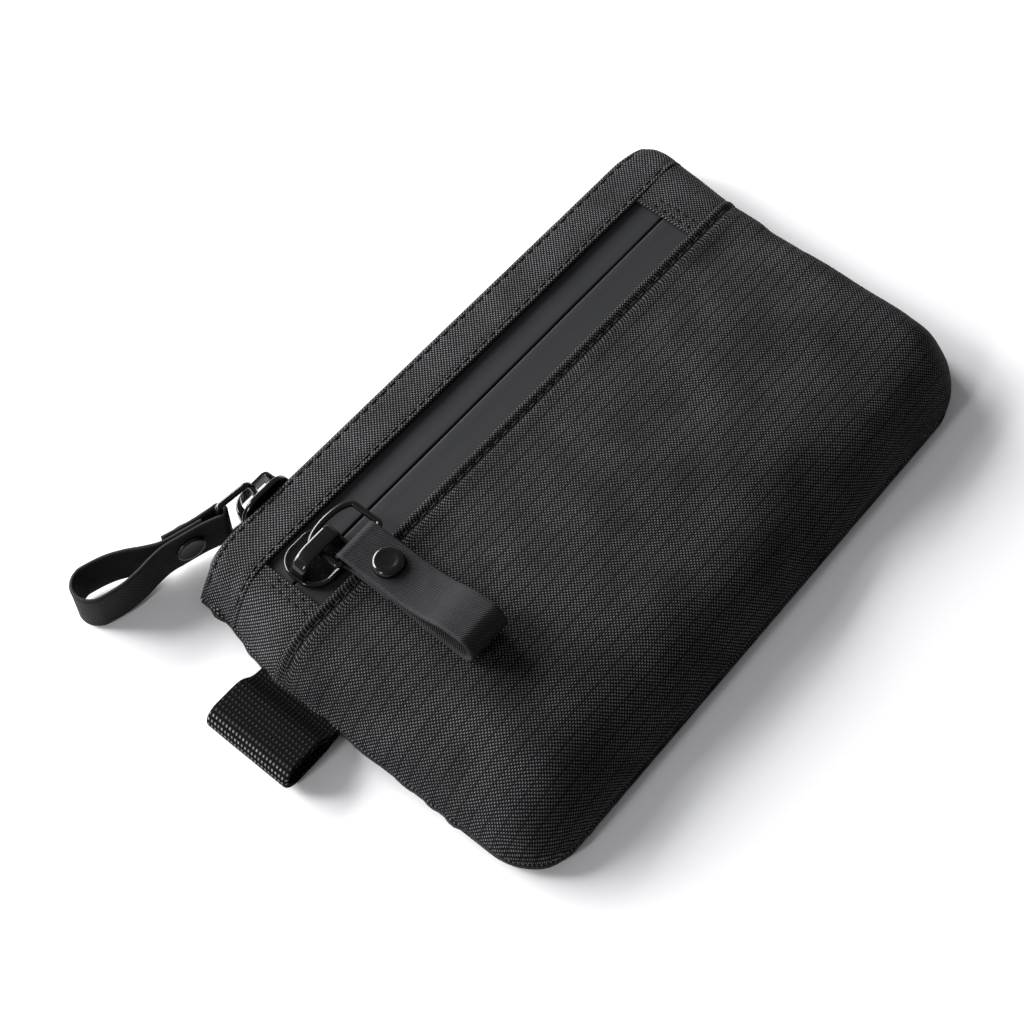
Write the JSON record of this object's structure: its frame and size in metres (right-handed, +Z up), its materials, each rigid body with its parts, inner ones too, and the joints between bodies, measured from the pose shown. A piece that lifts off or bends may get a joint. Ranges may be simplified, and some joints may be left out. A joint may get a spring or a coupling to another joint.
{
  "type": "zippered pouch",
  "caption": "Small puffed fabric pouch lying on its back, with a zipped front pocket, a zip along its top edge, ring-and-strap zip pulls and a side loop of webbing.",
  "frame": {"origin": "on the flat back face that the pouch lies on, 1.25 mm left of its middle and 0.45 mm above it", "axes": "+X along both zips, away from their closed ends; +Y towards the zipped top edge; +Z up out of the front pocket's face"},
  "size_m": [0.156, 0.1055, 0.0237],
  "materials": {
    "fabric": "black plain-weave ripstop fabric with a slight sheen",
    "lining": "thin smooth dark lining fabric",
    "coated_tape": "zip tape with a smooth dark grey water-resistant film",
    "coil": "black moulded zip coil",
    "stop": "black painted metal",
    "webbing": "black ribbed nylon webbing",
    "strap": "dark grey twill tape",
    "black_metal": "gloss black painted zinc alloy"
  },
  "bodies": {
    "pouch": {"back_panel": "fabric", "front_panel": "fabric", "front_top_band": "fabric", "window_end_patch_left": "fabric", "window_end_patch_right": "fabric", "seam_binding": "fabric", "pocket_divider_lining": "lining", "back_lining": "lining", "front_zip_tape_lower": "coated_tape", "front_zip_tape_upper": "coated_tape", "main_zip_tape_front": "coated_tape", "main_zip_tape_back": "coated_tape", "front_zip_coil_lower": "coil", "front_zip_coil_upper": "coil", "main_zip_coil_front": "coil", "main_zip_coil_back": "coil", "front_zip_closed_end_stop": "stop", "front_zip_open_end_stop": "stop", "main_zip_closed_end_stop": "stop", "main_zip_open_end_stop": "stop", "side_webbing_loop": "webbing"},
    "front_slider": {"front_slider_body": "black_metal", "front_slider_crown": "black_metal"},
    "front_ring": {"front_d_ring": "black_metal"},
    "front_pull": {"front_strap": "strap", "front_rivet_cap": "black_metal", "front_rivet_back": "black_metal"},
    "main_slider": {"main_slider_body": "black_metal", "main_slider_crown": "black_metal"},
    "main_ring": {"main_d_ring": "black_metal"},
    "main_pull": {"main_strap": "strap", "main_rivet_cap": "black_metal", "main_rivet_back": "black_metal"}
  },
  "joints": [
    {"name": "front_zip_slide", "type": "slide", "parent": "pouch", "child": "front_slider", "axis": [1, 0, 0], "range_m": [0, 0.099]},
    {"name": "front_ring_flip", "type": "hinge", "parent": "front_slider", "child": "front_ring", "pos_m": [-0.0483, 0.0268, 0.015], "axis": [0, -1, 0], "range_deg": [0, 90]},
    {"name": "front_strap_swing", "type": "hinge", "parent": "front_ring", "child": "front_pull", "pos_m": [-0.04235, 0.0213, 0.015], "axis": [-1, 0, 0], "range_deg": [0, 100]},
    {"name": "main_zip_slide", "type": "slide", "parent": "pouch", "child": "main_slider", "axis": [1, 0, 0], "range_m": [0, 0.101]},
    {"name": "main_ring_flip", "type": "hinge", "parent": "main_slider", "child": "main_ring", "pos_m": [-0.044, 0.0478, 0.00675], "axis": [0, 0, -1], "range_deg": [-4, 100]},
    {"name": "main_strap_swing", "type": "hinge", "parent": "main_ring", "child": "main_pull", "pos_m": [-0.05276, 0.04864, 0.00675], "axis": [0, 0, -1], "range_deg": [-14, 50]}
  ]
}
